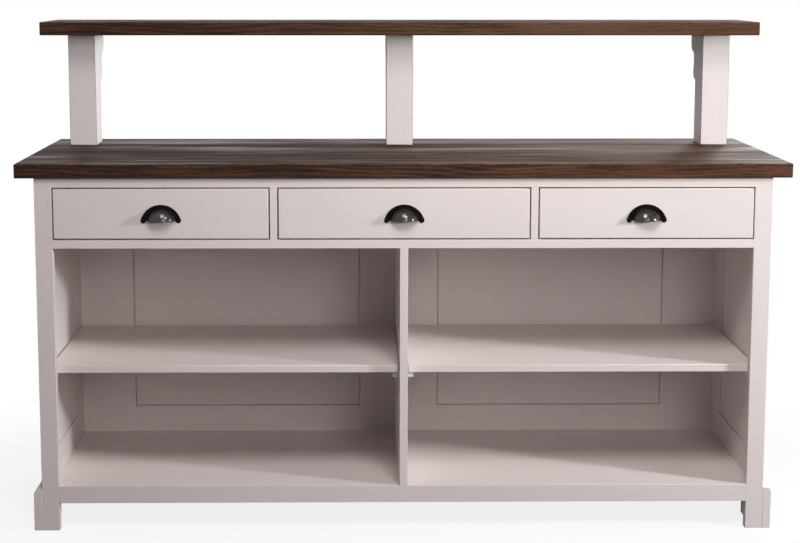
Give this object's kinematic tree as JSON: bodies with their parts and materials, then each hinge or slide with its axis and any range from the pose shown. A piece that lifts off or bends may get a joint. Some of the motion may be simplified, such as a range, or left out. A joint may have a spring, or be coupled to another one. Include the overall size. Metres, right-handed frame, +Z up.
{
  "type": "kitchen island unit",
  "caption": "Free-standing kitchen island with open shelf bays, drawers with cup pulls, a thick wooden worktop and a raised bar board on posts with corbels.",
  "frame": {"origin": "on the floor under the middle of the unit, from the pulls' fronts to the worktop's back edge", "axes": "+X along the unit to the right as seen from the drawers, -Y out of the drawer fronts, +Z up"},
  "size_m": [1.8, 0.6132, 1.194],
  "materials": {
    "painted_wood": "satin off-white paint",
    "stained_wood": "dark brown stain under a satin coat",
    "bare_pine": "bare, planed",
    "dark_bronze": "dark polished bronze",
    "steel": "zinc plated",
    "white_plastic": "matte white"
  },
  "bodies": {
    "cabinet": {"worktop": "stained_wood", "bar_board": "stained_wood", "post_left": "painted_wood", "post_centre": "painted_wood", "post_right": "painted_wood", "corbel_left": "painted_wood", "corbel_centre": "painted_wood", "corbel_right": "painted_wood", "front_leg_left": "painted_wood", "front_leg_right": "painted_wood", "top_rail": "painted_wood", "middle_rail": "painted_wood", "bottom_rail": "painted_wood", "side_stiles_left": "painted_wood", "side_rails_left": "painted_wood", "side_panel_left": "painted_wood", "side_stiles_right": "painted_wood", "side_rails_right": "painted_wood", "side_panel_right": "painted_wood", "back_stiles": "painted_wood", "back_rails": "painted_wood", "back_muntin": "painted_wood", "back_panel_left": "painted_wood", "back_panel_right": "painted_wood", "bay_partition": "painted_wood", "floor_board": "painted_wood", "drawer_deck": "painted_wood", "drawer_partition_left": "painted_wood", "drawer_partition_right": "painted_wood", "shelf_left": "painted_wood", "shelf_right": "painted_wood", "shelf_supports": "white_plastic", "side_skirt_left": "painted_wood", "side_skirt_right": "painted_wood", "drawer_runners": "bare_pine", "worktop_blocks": "bare_pine", "fixing_screws": "steel", "post_bolts": "steel", "bar_dowels": "bare_pine"},
    "left_drawer": {"left_drawer_front": "painted_wood", "left_drawer_side_left": "bare_pine", "left_drawer_side_right": "bare_pine", "left_drawer_back": "bare_pine", "left_drawer_bottom": "bare_pine", "left_drawer_pull": "dark_bronze", "left_pull_screws": "dark_bronze"},
    "centre_drawer": {"centre_drawer_front": "painted_wood", "centre_drawer_side_left": "bare_pine", "centre_drawer_side_right": "bare_pine", "centre_drawer_back": "bare_pine", "centre_drawer_bottom": "bare_pine", "centre_drawer_pull": "dark_bronze", "centre_pull_screws": "dark_bronze"},
    "right_drawer": {"right_drawer_front": "painted_wood", "right_drawer_side_left": "bare_pine", "right_drawer_side_right": "bare_pine", "right_drawer_back": "bare_pine", "right_drawer_bottom": "bare_pine", "right_drawer_pull": "dark_bronze", "right_pull_screws": "dark_bronze"}
  },
  "joints": [
    {"name": "left_drawer_slide", "type": "slide", "parent": "cabinet", "child": "left_drawer", "axis": [0, -1, 0], "range_m": [0, 0.3]},
    {"name": "centre_drawer_slide", "type": "slide", "parent": "cabinet", "child": "centre_drawer", "axis": [0, -1, 0], "range_m": [0, 0.3]},
    {"name": "right_drawer_slide", "type": "slide", "parent": "cabinet", "child": "right_drawer", "axis": [0, -1, 0], "range_m": [0, 0.3]}
  ]
}
